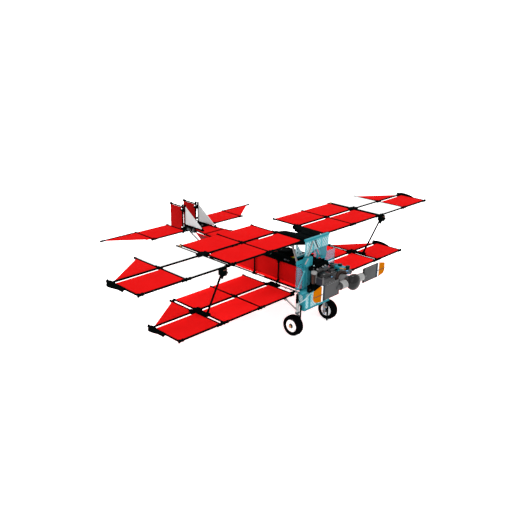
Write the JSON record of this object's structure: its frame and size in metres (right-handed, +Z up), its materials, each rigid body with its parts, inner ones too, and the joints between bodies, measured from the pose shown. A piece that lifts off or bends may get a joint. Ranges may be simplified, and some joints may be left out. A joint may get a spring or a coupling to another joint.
{
  "type": "toy biplane",
  "caption": "Toy biplane of thin rods and flat panels, with a turning propeller and wheels, a hinged tail and rudders, parked tail down on a skid",
  "frame": {"origin": "on the ground under the middle of the bounding box", "axes": "+X towards the left wing tip, -Y towards the nose, +Z up; the airframe is pitched nose up as it parks"},
  "size_m": [0.857, 0.5356, 0.1949],
  "materials": {
    "plastic_black": "satin moulded plastic",
    "plastic_red": "satin moulded sheet",
    "plastic_white": "satin moulded sheet",
    "plastic_pale_grey": "satin moulded sheet",
    "plastic_light_grey": "satin moulded plastic",
    "plastic_dark_grey": "satin moulded plastic",
    "gloss_dark_grey": "polished moulded plastic",
    "plastic_teal": "satin moulded plastic",
    "clear_blue": "clear tinted plastic",
    "plastic_orange": "satin moulded plastic",
    "plastic_olive": "satin moulded plastic",
    "plastic_brown": "satin moulded plastic",
    "rubber_black": "matte moulded rubber"
  },
  "bodies": {
    "airframe": {"upper_wing_frame_left": "plastic_black", "upper_panels_red_left": "plastic_red", "upper_panels_white_left": "plastic_white", "upper_panels_tip_left": "plastic_red", "lower_wing_frame_left": "plastic_black", "lower_panels_red_left": "plastic_red", "lower_panels_tip_left": "plastic_red", "upper_wing_frame_right": "plastic_black", "upper_panels_red_right": "plastic_red", "upper_panels_white_right": "plastic_white", "upper_panels_tip_right": "plastic_red", "lower_wing_frame_right": "plastic_black", "lower_panels_red_right": "plastic_red", "lower_panels_tip_right": "plastic_red", "interplane_strut_left": "plastic_black", "interplane_strut_right": "plastic_black", "centre_section": "plastic_black", "cabane_strut_left": "plastic_light_grey", "cabane_strut_right": "plastic_light_grey", "fuselage_frame": "plastic_black", "cockpit_deck": "plastic_black", "tail_frame": "plastic_black", "fuselage_side_left": "plastic_red", "fuselage_side_right": "plastic_red", "fuselage_deck": "plastic_red", "seat": "plastic_olive", "nose_frame": "plastic_teal", "upper_screen": "clear_blue", "nose_window_left": "clear_blue", "nose_window_right": "clear_blue", "chin_screen": "clear_blue", "windscreen": "clear_blue", "engine_mount": "plastic_black", "engine_block": "plastic_dark_grey", "engine_dome": "gloss_dark_grey", "side_tank": "plastic_teal", "exhaust_arch": "plastic_brown", "gear_leg_left": "plastic_light_grey", "gear_leg_right": "plastic_light_grey", "tail_skid": "plastic_black", "fin_left": "plastic_pale_grey", "fin_right": "plastic_pale_grey"},
    "propeller": {"spinner": "gloss_dark_grey", "blade_root_left": "plastic_light_grey", "blade_left": "plastic_dark_grey", "blade_tip_left": "plastic_orange", "blade_root_right": "plastic_light_grey", "blade_right": "plastic_dark_grey", "blade_tip_right": "plastic_orange"},
    "wheel_left": {"tyre_left": "rubber_black", "hub_left": "plastic_white"},
    "wheel_right": {"tyre_right": "rubber_black", "hub_right": "plastic_white"},
    "elevator": {"elevator_frame": "plastic_black", "elevator_panels_left": "plastic_red", "elevator_panels_right": "plastic_red"},
    "rudder_left": {"rudder_left": "plastic_red", "rudder_frame_left": "plastic_black"},
    "rudder_right": {"rudder_right": "plastic_red", "rudder_frame_right": "plastic_black"}
  },
  "joints": [
    {"name": "propeller_spin", "type": "hinge", "parent": "airframe", "child": "propeller", "pos_m": [0, -0.25123, 0.1405], "axis": [0, -0.9859, 0.1672], "continuous": true},
    {"name": "wheel_left_spin", "type": "hinge", "parent": "airframe", "child": "wheel_left", "pos_m": [0.0553, -0.17818, 0.021], "axis": [1, 0, 0], "continuous": true},
    {"name": "wheel_right_spin", "type": "hinge", "parent": "airframe", "child": "wheel_right", "pos_m": [-0.0553, -0.17818, 0.021], "axis": [1, 0, 0], "continuous": true},
    {"name": "elevator_pitch", "type": "hinge", "parent": "airframe", "child": "elevator", "pos_m": [0, 0.178, 0.07581], "axis": [1, 0, 0], "range_deg": [-15, 15]},
    {"name": "rudder_left_swing", "type": "hinge", "parent": "airframe", "child": "rudder_left", "pos_m": [0.02, 0.21781, 0.0863], "axis": [0, 0.1672, 0.9859], "range_deg": [-15, 15]},
    {"name": "rudder_right_swing", "type": "hinge", "parent": "airframe", "child": "rudder_right", "pos_m": [-0.02, 0.21781, 0.0863], "axis": [0, 0.1672, 0.9859], "range_deg": [-15, 15]}
  ]
}
